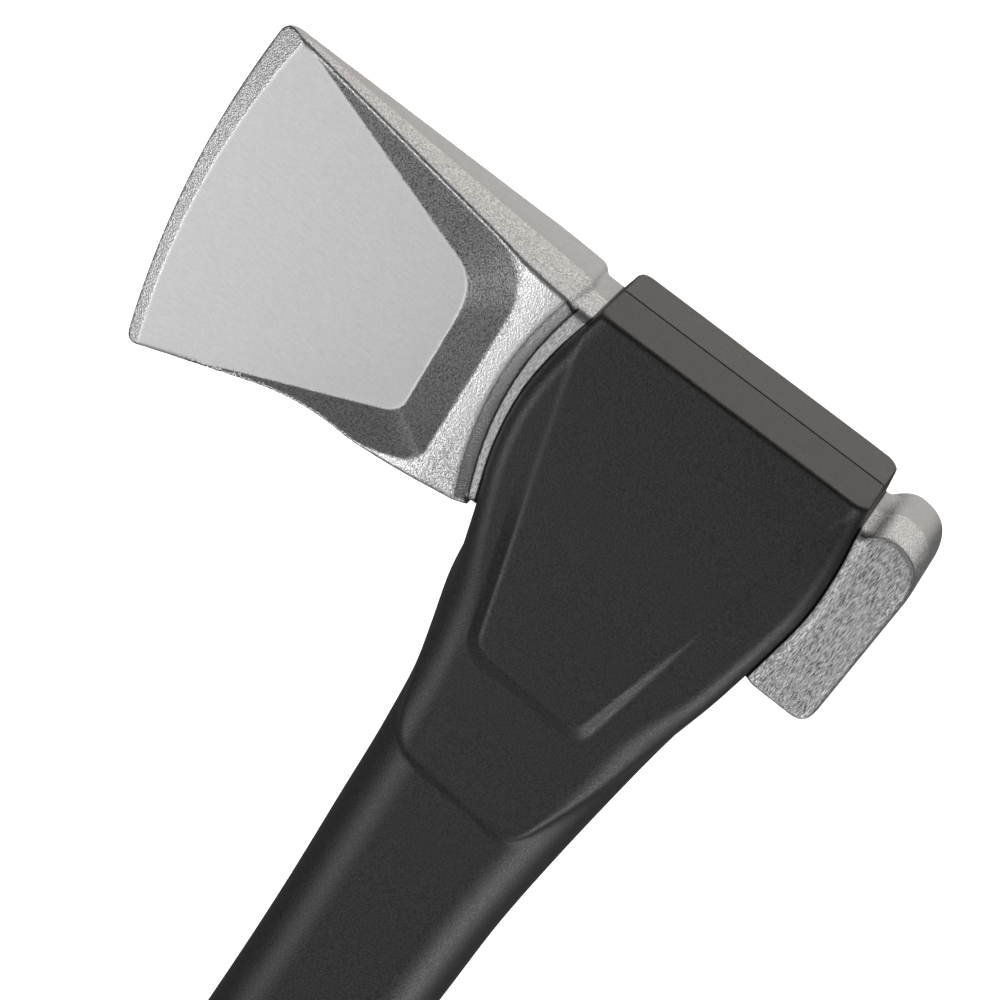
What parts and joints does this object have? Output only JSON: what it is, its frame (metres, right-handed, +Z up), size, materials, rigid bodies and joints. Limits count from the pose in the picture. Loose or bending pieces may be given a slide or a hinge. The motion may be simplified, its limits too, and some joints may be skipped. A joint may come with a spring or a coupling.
{
  "type": "splitting hatchet",
  "caption": "Short splitting hatchet: forged wedge head with a poll, its waist moulded into a hollow nylon handle with a rubber grip and a flared butt cap",
  "frame": {"origin": "middle of the flat face of the butt, at the lower end of the handle", "axes": "+Z runs up the handle to the head, +X points to the cutting edge, Y is the thickness"},
  "size_m": [0.1616, 0.0354, 0.4436],
  "materials": {
    "head": "satin, blasted with ground cheeks",
    "handle": "matt, fine grain",
    "grip": "matt",
    "end_cap": "matt, fine grain"
  },
  "bodies": {
    "root": {"head": "head", "handle": "handle", "grip": "grip", "end_cap": "end_cap"}
  },
  "joints": []
}
